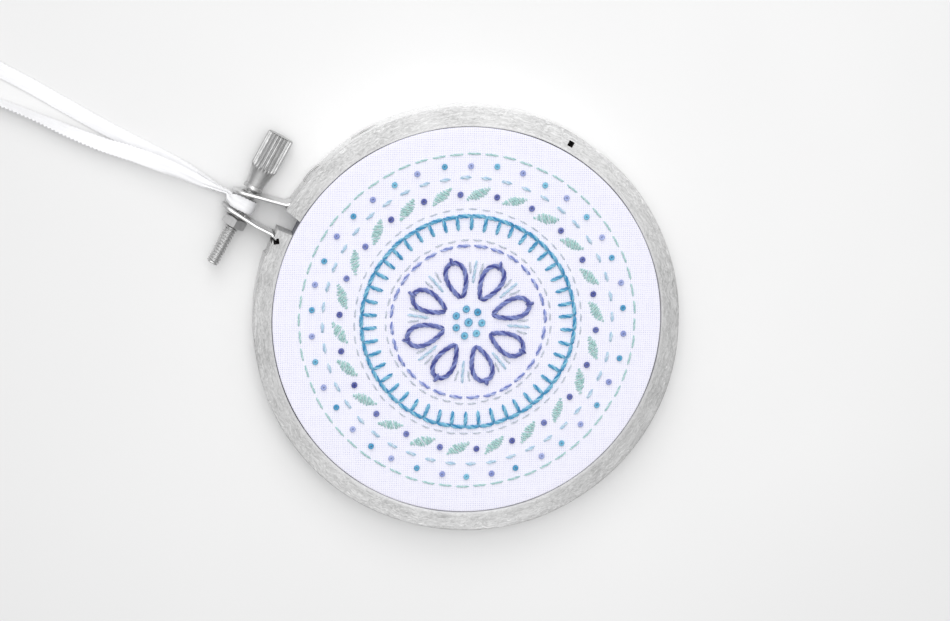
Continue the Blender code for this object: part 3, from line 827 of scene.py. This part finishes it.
def make_outer_ring():
    """Split ring with softened edges and slightly uneven faces, cut as the clamp and pins need."""
    profile = filled(ring_section(BORE_RADIUS, OUTER_RADIUS, RING_HEIGHT, 0.35, 6), 0.7)

    def wander(angle, radius):
        uneven = 0.03 * math.sin(5 * angle) + 0.02 * math.sin(13 * angle + 1.3) - 0.02
        swell = EVEN_SWELL
        for middle, reach, height in SWELLS:
            facing = math.cos(angle - math.radians(middle))
            low = math.cos(math.radians(reach))
            swell += height * smooth_step((facing - low) / (1 - low))
        return uneven + swell * (radius - BORE_RADIUS) / (OUTER_RADIUS - BORE_RADIUS)

    points, faces = turned(profile, 300, wander)
    mesh = bpy.data.meshes.new("ring_wood")
    mesh.from_pydata([tuple(point) for point in points], [], faces)
    ring = bpy.data.objects.new("ring_wood", mesh)
    above = RING_HEIGHT + CUT_MARGIN
    tools = [prism_cutter(GAP_CORNERS, -CUT_MARGIN, above)]
    for name, path in EARS.items():
        inner = Vector(path[3])
        outer = Vector(path[2])
        run = (outer - inner).normalized()
        pocket = bar(inner - run * CLEARANCE, outer + run * CUT_MARGIN, EAR_THICKNESS + 2 * CLEARANCE)
        tools.append(prism_cutter(pocket, -CUT_MARGIN, EAR_FEET[name][2]))
        if "nut_side" in name:
            tools.append(prism_cutter(bar(inner, outer + run * CUT_MARGIN, SAW_CUT_WIDTH), SCREW_Z, above))
    for x, y, turn in PIN_HOLES:
        centre = Vector((x, y))
        half = Vector((math.cos(math.radians(turn)), math.sin(math.radians(turn)))) * PIN_HOLE_SIDE / 2
        hole = bar(centre - half, centre + half, PIN_HOLE_SIDE)
        tools.append(prism_cutter(hole, RING_HEIGHT - PIN_HOLE_DEPTH, above))
    shaved = OUTER_RADIUS + EVEN_SWELL - SHAVE_DEPTH
    start = Vector(around(shaved, SHAVE_START))
    end = Vector((SHAVE_END_X, math.sqrt(shaved**2 - SHAVE_END_X**2)))
    run = (end - start).normalized()
    aside = Vector((-run.y, run.x)) * CUT_MARGIN
    shaving = bar(start + aside, end + run * CUT_MARGIN + aside, 2 * CUT_MARGIN)
    tools.append(prism_cutter(shaving, -CUT_MARGIN, above))
    for legs in STAPLES.values():
        for leg in legs:
            inner = around(OUTER_RADIUS - STAPLE_LEG - CLEARANCE, math.radians(leg))
            outer = around(OUTER_RADIUS + CUT_MARGIN, math.radians(leg))
            tools.append(rod_cutter((*inner, SCREW_Z), (*outer, SCREW_Z), STAPLE_WIRE + 0.05))
    for tool in tools:
        boolean = ring.modifiers.new("cut", "BOOLEAN")
        boolean.operation = "DIFFERENCE"
        boolean.solver = "EXACT"
        boolean.object = tool
    mesh = settled(ring)
    for tool in tools:
        bpy.data.objects.remove(tool, do_unlink=True)
    wood = wood_material("grey_ring_wood", srgb(184, 184, 184), srgb(213, 213, 213), srgb(232, 232, 232))
    dressed("ring_outer", mesh, wood, "hoop", ("outer_ring",))


def make_inner_ring():
    """Plain closed ring under the cloth."""
    section = ring_section(INNER_BORE, INNER_RADIUS, INNER_TOP, 0.25, 3)
    points, faces = turned(filled(section, 1.2), 240)
    wood = wood_material("pale_ring_wood", srgb(196, 190, 180), srgb(222, 217, 208), srgb(234, 230, 223))
    piece("ring_inner", points, faces, wood, "hoop", ("inner_ring",))


def cloth_height(radius, angle):
    """Slight unevenness of the stretched cloth, in millimetres."""
    calm = smooth_step((CLOTH_RADIUS - 1.0 - radius) / 6)
    waves = math.sin(0.31 * radius * math.cos(angle) + 0.4) * math.sin(0.27 * radius * math.sin(angle) + 1.1)
    return 0.05 * calm * waves


def make_cloth():
    """Thin stretched sheet whose rim is turned down between the two rings."""
    steps = 240
    shoulder = CLOTH_SHOULDER
    profile = [(0.6 * ring, 0.0) for ring in range(1, 63)]
    profile += [(r, h) for r, h in rounded((CLOTH_RADIUS - shoulder, -shoulder), shoulder, 90, 0, 5)]
    drop = CLOTH_TOP - CLOTH_HEM
    profile += [(CLOTH_RADIUS, -shoulder - (drop - shoulder) * k / 10) for k in range(1, 11)]
    points = [from_ring(0.0, 0.0, CLOTH_TOP + cloth_height(0.0, 0.0))]
    for step in range(steps):
        angle = 2 * math.pi * step / steps
        for radius, height in profile:
            ripple = 0.04 * math.sin(37 * angle + height) * smooth_step(-height / 3)
            lift = cloth_height(radius, angle) if height == 0.0 else 0.0
            points.append(from_ring(*around(radius - abs(ripple), angle), CLOTH_TOP + height + lift))
    count = len(profile)
    faces = []
    for step in range(steps):
        here = 1 + step * count
        there = 1 + (step + 1) % steps * count
        faces.append((0, here, there))
        for k in range(count - 1):
            faces.append((here + k, here + k + 1, there + k + 1, there + k))
    mesh = bpy.data.meshes.new("cloth_sheet")
    mesh.from_pydata([tuple(point) for point in points], [], faces)
    sheet = bpy.data.objects.new("cloth_sheet", mesh)
    solid = sheet.modifiers.new("sheet", "SOLIDIFY")
    solid.thickness = CLOTH_SHEET * MM
    solid.offset = 1.0 if mesh.polygons[0].normal.z < 0 else -1.0
    cloth = dressed("cloth_cotton", settled(sheet), cotton_material(), "hoop", ("cloth",))


# Clamp and staples


def make_ear(name, path, material):
    """Bent strip with rounded edges: a flat plate with its hole, then laid along the path."""
    path = [Vector(point) for point in path]
    lengths = [0.0]
    for here, there in zip(path, path[1:]):
        lengths.append(lengths[-1] + (there - here).length)
    edge = 0.2
    total = lengths[-1]
    half = EAR_HEIGHT / 2
    outline = rounded((EAR_ROUND, half - EAR_ROUND), EAR_ROUND, 90, 180, 10)
    outline += rounded((EAR_ROUND, EAR_ROUND - half), EAR_ROUND, 180, 270, 10)
    foot_step, foot_top, _ = EAR_FEET[name]
    foot_at = lengths[-2] + foot_step
    outline += [(total, -half), (total, foot_top - SCREW_Z), (foot_at, foot_top - SCREW_Z), (foot_at, half)]
    share = (SCREW_Y - path[0].y) / (path[1].y - path[0].y)
    hole_at = share * lengths[1]
    slot_end = hole_at + (NUT_SIDE_SLOT if "nut_side" in name else 0.0)
    hole = rounded((slot_end, 0.0), EAR_HOLE, -90, 90, 24) + rounded((hole_at, 0.0), EAR_HOLE, 90, 270, 24)
    curve = bpy.data.curves.new(name, "CURVE")
    curve.dimensions = "2D"
    curve.fill_mode = "BOTH"
    curve.extrude = EAR_THICKNESS / 2 - edge
    curve.bevel_depth = edge
    curve.bevel_resolution = 2
    curve.offset = -edge
    for loop in (outline, hole):
        spline = curve.splines.new("POLY")
        spline.points.add(len(loop) - 1)
        for point, place in zip(spline.points, loop):
            point.co = (*place, 0.0, 1.0)
        spline.use_cyclic_u = True
    mesh = settled(bpy.data.objects.new(name, curve))
    builder = bmesh.new()
    builder.from_mesh(mesh)
    bmesh.ops.remove_doubles(builder, verts=builder.verts, dist=0.002)
    bend_reach = 0.3
    for bend in lengths[1:-1]:
        for shift in (-bend_reach, -bend_reach / 2, 0.0, bend_reach / 2, bend_reach):
            geometry = builder.verts[:] + builder.edges[:] + builder.faces[:]
            bmesh.ops.bisect_plane(builder, geom=geometry, plane_co=(bend + shift, 0, 0), plane_no=(1, 0, 0))
    for vertex in builder.verts:
        at, up, out = vertex.co
        vertex.co = bent(path, lengths, at, out, bend_reach, up)
    builder.to_mesh(mesh)
    builder.free()
    dressed(name.replace("clamp_", "plated_"), mesh, material, "hoop", (name,), sharp=40.0)


def bent(path, lengths, at, out, reach, up):
    """World place of a plate's point that lies at a length along the path and out from it."""
    segment = len(path) - 2
    for k in range(len(path) - 2):
        if at < lengths[k + 1]:
            segment = k
            break
    ways = [(there - here).normalized() for here, there in zip(path, path[1:])]
    way = ways[segment]
    for k in range(1, len(path) - 1):
        apart = at - lengths[k]
        if abs(apart) < reach:
            turn = smooth_step((apart + reach) / (2 * reach))
            way = ways[k - 1].lerp(ways[k], turn).normalized()
    place = path[segment] + ways[segment] * (at - lengths[segment])
    place += Vector((-way.y, way.x)) * out
    return from_ring(place.x, place.y, SCREW_Z + up)


def screw_radius_rows():
    """(x, radius, kind) down the screw from its thumb end to its tip."""
    chamfer = 0.2
    rows = [(HEAD_END, HEAD_RADIUS - 2 * chamfer, "plain"), (HEAD_END, HEAD_RADIUS - chamfer, "plain")]
    rows += [(HEAD_END - 0.08, HEAD_RADIUS - 0.16, "flute"), (HEAD_END - chamfer, HEAD_RADIUS, "flute")]
    for k in range(1, 8):
        rows.append((HEAD_END - chamfer - (HEAD_END - chamfer - KNURL_START) * k / 7, HEAD_RADIUS, "flute"))
    shoulder = KNURL_START - 0.6
    rows += [(KNURL_START - 0.25, HEAD_RADIUS - 0.1, "fade"), (shoulder, HEAD_RADIUS - 0.28, "plain")]
    neck = HEAD_RADIUS - 0.3 - NECK_RADIUS
    for k in range(1, 9):
        share = k / 8
        rows.append((shoulder + (COLLAR[1] - shoulder) * share, NECK_RADIUS + neck * (1 - share), "plain"))
    rows += [(COLLAR[1], COLLAR[2] - 0.1, "plain"), (COLLAR[1] - 0.1, COLLAR[2], "plain")]
    rows += [(COLLAR[0] + 0.1, COLLAR[2], "plain"), (COLLAR[0], COLLAR[2] - 0.1, "plain")]
    rows += [(COLLAR[0], ROD_RADIUS, "plain"), (COLLAR[0] - 0.4, ROD_RADIUS - 0.1, "plain")]
    return rows


def make_screw(material):
    """Thumbscrew with cut flutes on its head and a helical thread along its rod."""
    steps = FLUTES * 8
    points = []
    rows = screw_radius_rows()
    for x, radius, kind in rows:
        for step in range(steps):
            angle = 2 * math.pi * step / steps
            phase = abs((step % 8) / 4 - 1)
            depth = {"flute": 0.34, "fade": 0.17, "plain": 0.0}[kind]
            around_axis = radius - depth * min(1.0, 1.6 * max(0.0, 0.75 - phase))
            points.append(screw_point(x, around_axis, angle))
    thread_start = COLLAR[0] - 0.5
    length = thread_start - ROD_TIP
    turns = round(length / THREAD_PITCH * 10)
    thread_depth = 0.2
    for k in range(turns + 1):
        x = thread_start - length * k / turns
        taper = min(1.0, (x - ROD_TIP) / 0.35)
        for step in range(steps):
            angle = 2 * math.pi * step / steps
            phase = (x / THREAD_PITCH + angle / (2 * math.pi)) % 1.0
            groove = min(1.0, max(0.0, 1.35 * (1 - abs(2 * phase - 1)) - 0.15))
            radius = (ROD_RADIUS - thread_depth * (1 - groove)) * (1 - 0.12 * (1 - taper))
            points.append(screw_point(x, radius, angle))
    ring_count = len(rows) + turns + 1
    faces = strips(ring_count, steps)
    for end, inner in ((0, HEAD_END - 0.12), (ring_count - 1, ROD_TIP)):
        points.append(screw_point(inner, 0.0, 0.0))
        for k in range(steps):
            faces.append((end * steps + k, end * steps + (k + 1) % steps, len(points) - 1))
    piece("screw_turned", points, faces, material, "screw", ("thumbscrew",), sharp=32.0)


def screw_point(x, radius, angle):
    return from_ring(x, SCREW_Y + radius * math.cos(angle), SCREW_Z + radius * math.sin(angle))


def make_nut(material):
    """Hexagon nut with turned-down corners and a countersunk bore."""
    sides = 72
    flat = NUT_FLATS / 2
    middle = sum(NUT_SPAN) / 2
    half = (NUT_SPAN[1] - NUT_SPAN[0]) / 2
    bore = EAR_HOLE
    points = []
    rows = 0
    face_radius = flat * 0.96
    for side in (-1, 1):
        ladder = [(bore, half - 0.35), (bore + 0.25, half), (face_radius, half)]
        ladder += [(None, None), (None, 0.25 * half)]
        for radius, depth in ladder if side < 0 else reversed(ladder):
            for k in range(sides):
                angle = 2 * math.pi * k / sides
                apart = (angle + math.pi / 6) % (math.pi / 3) - math.pi / 6
                rim = flat / math.cos(apart)
                at = rim if radius is None else radius
                down = half - (rim - face_radius) * math.tan(math.radians(28)) if depth is None else depth
                points.append(screw_point(middle + side * down, at, angle + NUT_TURN))
            rows += 1
    faces = strips(rows, sides, joined=True)
    piece("nut_plated", points, faces, material, "hoop", ("hex_nut",), sharp=25.0)


def make_staple(name, legs, material):
    """Bowed round wire whose legs turn into the ring's outer wall."""
    first, last = (math.radians(leg) for leg in legs)
    stand = OUTER_RADIUS + STAPLE_WIRE + CLEARANCE
    line = []
    for leg, sign in ((first, 1), (last, -1)):
        part = []
        for k in range(9):
            part.append((OUTER_RADIUS - STAPLE_LEG + (stand - OUTER_RADIUS + STAPLE_LEG - 0.25) * k / 8, leg))
        part.append((stand - 0.07, leg + sign * 0.07 / stand))
        line.append(part)
    bow = []
    for k in range(1, 24):
        share = k / 24
        bow.append((stand + (STAPLE_BOW - 0.55) * math.sin(math.pi * share), first + (last - first) * share))
    whole = line[0] + bow + line[1][::-1]
    path = [from_ring(*around(radius, angle), SCREW_Z) for radius, angle in whole]
    points, faces = tube([tuple(point) for point in path], STAPLE_WIRE * MM, 14)
    piece(name.replace("staple", "wire"), points, faces, material, "hoop", (name,))


# Embroidery


class Floss:
    """Stitches of one colour, gathered into one piece."""

    def __init__(self, name, deep, pale):
        self.name = name
        self.colours = (deep, pale)
        self.points = []
        self.shades_and_tones = []
        self.faces = []
        self.count = 0

    def add(self, points, faces, shade_and_tone=0.5):
        self.points.append(points)
        self.shades_and_tones += [shade_and_tone] * len(points)
        self.faces += [tuple(index + self.count for index in face) for face in faces]
        self.count += len(points)

    def stitch(self, flat, width, lift=0.0, plies=3):
        """Twisted strand along a line of (x, y) places, its ends going down into the cloth."""
        line, reach = evenly(flat, STITCH_STEP)
        total = reach[-1]
        ends = np.minimum(reach, total - reach)
        rise = np.clip(ends / min(DIVE_REACH, total / 2), 0.0, 1.0)
        rise = rise * rise * (3 - 2 * rise)
        fullness = 0.6 + 0.4 * rise
        height = CLOTH_TOP - DIVE_DEPTH + (DIVE_DEPTH + 0.38 * width + lift) * rise
        centre = np.column_stack([line, height])
        run = np.gradient(centre, axis=0)
        run /= np.linalg.norm(run, axis=1)[:, None]
        side = np.cross((0.0, 0.0, 1.0), run)
        side /= np.linalg.norm(side, axis=1)[:, None]
        up = np.cross(run, side)
        ply_radius = width * (0.23 if plies == 3 else 0.27)
        off = width / 2 - ply_radius
        start = random.uniform(0, 2 * math.pi)
        pitch = TWIST * width
        for ply in range(plies):
            turn = start + 2 * math.pi * (reach / pitch + ply / plies)
            shift = np.cos(turn)[:, None] * side + 0.75 * np.sin(turn)[:, None] * up
            path = centre + shift * (off * fullness)[:, None]
            # Painted shade: the plies go from the deep to the pale colour, as the shade between strands
            self.add(*tube(path, ply_radius * fullness, 6), shade_and_tone=ply / (plies - 1) + shaky(0.2))

    def knot(self, x, y, size):
        """Thread wound twice round and taken down through its middle."""
        radius = size * 0.175
        coil = size * 0.325
        start = random.uniform(0, 2 * math.pi)
        turns = 2.3
        steps = 34
        line = []
        for k in range(steps):
            share = k / (steps - 1)
            angle = start + 2 * math.pi * turns * share
            spread = coil * (1.0 - 0.12 * share)
            height = CLOTH_TOP + radius * 0.8 + size * 0.2 * share
            line.append((x + spread * math.cos(angle) * 1.1, y + spread * math.sin(angle), height))
        inward = coil * 0.35
        angle += 0.8
        line.append((x + inward * math.cos(angle), y + inward * math.sin(angle), height - 0.05))
        line.append((x, y, height - 0.3))
        line.append((x + 0.02, y + 0.01, CLOTH_TOP))
        radii = [radius * (0.7 + 0.3 * min(1.0, k / 5)) for k in range(steps)]
        radii += [radius * 0.7, radius * 0.5, radius * 0.5]
        self.add(*tube(line, radii, 8, up=(0.05, 0.03, 1.0)), shade_and_tone=random.uniform(0.1, 0.9))

    def finish(self):
        world = np.concatenate(self.points) * MM
        world[:, 1] += RING_Y
        name = "floss_" + self.name
        material = thread_material(name, *self.colours)
        strands = piece(name, world, self.faces, material, "hoop", sharp=180.0)
        mark(strands, "shade_and_tone", self.shades_and_tones)


def evenly(flat, step):
    """The line's places at even steps, and the length up to each."""
    flat = np.asarray(flat, float)
    reach = np.concatenate([[0.0], np.cumsum(np.linalg.norm(np.diff(flat, axis=0), axis=1))])
    count = max(8, int(reach[-1] / step) + 1)
    at = np.linspace(0.0, reach[-1], count)
    line = np.column_stack([np.interp(at, reach, flat[:, k]) for k in (0, 1)])
    return line, at


def shaky(amount):
    return random.uniform(-amount, amount)


def straight(start, end, bow=0.0):
    """Places from one end to the other, bowed a little to one side."""
    start = np.asarray(start, float) + (shaky(0.12), shaky(0.12))
    end = np.asarray(end, float) + (shaky(0.12), shaky(0.12))
    shares = np.linspace(0.0, 1.0, 9)[:, None]
    aside = np.array((start[1] - end[1], end[0] - start[0]))
    return start + (end - start) * shares + aside * (bow + shaky(0.015)) * np.sin(np.pi * shares)


def arc(radius, start, end):
    """Places along a circle, angles in radians."""
    steps = max(4, int(abs(end - start) * radius / 0.5))
    return [around(radius, start + (end - start) * k / steps) for k in range(steps + 1)]


def petal(base, angle, length, width):
    """Closed loop that leaves one place, swells and comes back to it."""
    way = np.array(around(1.0, angle))
    aside = np.array((way[1], -way[0]))
    shares = np.linspace(0.0, 1.0, 49)[:, None]
    out = length * (1 - np.cos(2 * np.pi * shares)) / 2
    wide = width * 0.62 * np.sin(2 * np.pi * shares) * np.sin(np.pi * shares) ** 0.9
    return np.asarray(base) + way * out + aside * wide


def back_stitch_ring(floss, radius, count, width, share):
    """Ring of like stitches, each taking up its share of the step to the next."""
    for k in range(count):
        start = 2 * math.pi * k / count
        end = start + 2 * math.pi * share / count
        floss.stitch(arc(radius + shaky(0.1), start, end), width, plies=2)


def make_embroidery():
    """A round sampler: daisy, blanket stitch ring, satin leaves, knots and lines, one inside the other."""
    indigo = Floss("indigo", srgb(60, 68, 148), srgb(130, 142, 202))
    turquoise = Floss("turquoise", srgb(44, 140, 190), srgb(132, 198, 224))
    mint = Floss("mint", srgb(158, 202, 200), srgb(190, 220, 218))
    violet = Floss("violet", srgb(118, 132, 200), srgb(176, 188, 230))
    sky = Floss("sky", srgb(172, 204, 226), srgb(200, 222, 236))
    silver = Floss("silver", srgb(184, 192, 204), srgb(212, 218, 226))

    turquoise.knot(0.0, 0.0, 1.7)
    for k in range(7):
        turquoise.knot(*around(2.7 + shaky(0.1), 2 * math.pi * k / 7), 1.5)
    for k in range(8):
        angle = 2 * math.pi * (k + shaky(0.03)) / 8
        base = around(4.9, angle)
        tip = 7.6 + shaky(0.25)
        indigo.stitch(petal(base, angle, tip, 4.1 + shaky(0.2)), 1.0)
        indigo.stitch(straight(around(4.9 + tip - 0.7, angle), around(4.9 + tip + 1.1, angle)), 0.9, lift=0.6)
        between_angle = angle + math.pi / 8
        sky.stitch(straight(around(7.6, between_angle), around(12.6, between_angle)), 0.6, plies=2)
        for side in (-1, 1):
            aside = between_angle + side * 0.09
            silver.stitch(straight(around(9.4, aside), around(12.4, aside + side * 0.03)), 0.45, plies=2)
    back_stitch_ring(violet, 15.3, 28, 0.7, 0.93)
    back_stitch_ring(silver, 16.4, 40, 0.4, 0.95)
    spokes = 46
    for k in range(spokes):
        start = 2 * math.pi * k / spokes
        after = 2 * math.pi * (k + 1) / spokes
        turquoise.stitch(arc(21.2 + shaky(0.06), start - 0.01, after + 0.01), 0.85)
        turquoise.stitch(straight(around(18.1 + shaky(0.15), start), around(21.3, start)), 0.8)
    back_stitch_ring(silver, 22.6, 54, 0.35, 0.94)
    leaves = 22
    for k in range(leaves):
        angle = 2 * math.pi * k / leaves
        satin_leaf(mint, around(25.6, angle), angle + math.radians(58), 5.2, 2.6)
        indigo.knot(*around(25.6 + shaky(0.2), angle + math.pi / leaves), 1.25)
    back_stitch_ring(sky, 28.8, 44, 0.7, 0.62)
    for k in range(38):
        colour = turquoise if k % 2 else violet
        colour.knot(*around(31.2 + shaky(0.2), 2 * math.pi * (k + 0.5 + shaky(0.06)) / 38), 1.2)
    back_stitch_ring(mint, 33.4, 60, 0.45, 0.95)
    for floss in (indigo, turquoise, mint, violet, sky, silver):
        floss.finish()


def satin_leaf(floss, centre, angle, length, width):
    """Leaf filled with slanting stitches laid side by side."""
    way = np.array(around(1.0, angle))
    aside = np.array((way[1], -way[0]))
    middle = np.asarray(centre)
    stitches = 10
    for k in range(stitches):
        share = (k + 0.5) / stitches
        at = middle + way * (share - 0.5) * length
        half = width / 2 * math.sin(math.pi * share) ** 0.7
        slant = way * 0.45 * half
        floss.stitch(straight(at - aside * half - slant, at + aside * half + slant), 0.5, plies=2)


def main():
    make_camera()
    make_light()
    make_floor()
    make_ribbon()
    make_cloth()
    make_outer_ring()
    make_inner_ring()
    nickel = metal_material("plated_nickel", srgb(226, 226, 226), 0.3, 0.45, 0.3)
    matte_nickel = metal_material("plated_nickel_matte", srgb(208, 208, 208), 0.36, 0.52, 0.4)
    wire = metal_material("wire_steel_bright", srgb(200, 200, 200), 0.35, 0.5, 0.3)
    for name, path in EARS.items():
        make_ear(name, path, nickel)
    make_screw(matte_nickel)
    make_nut(matte_nickel)
    for name, legs in STAPLES.items():
        make_staple(name, legs, wire)
    make_embroidery()
    bpy.context.scene.view_settings.view_transform = "Standard"


main()
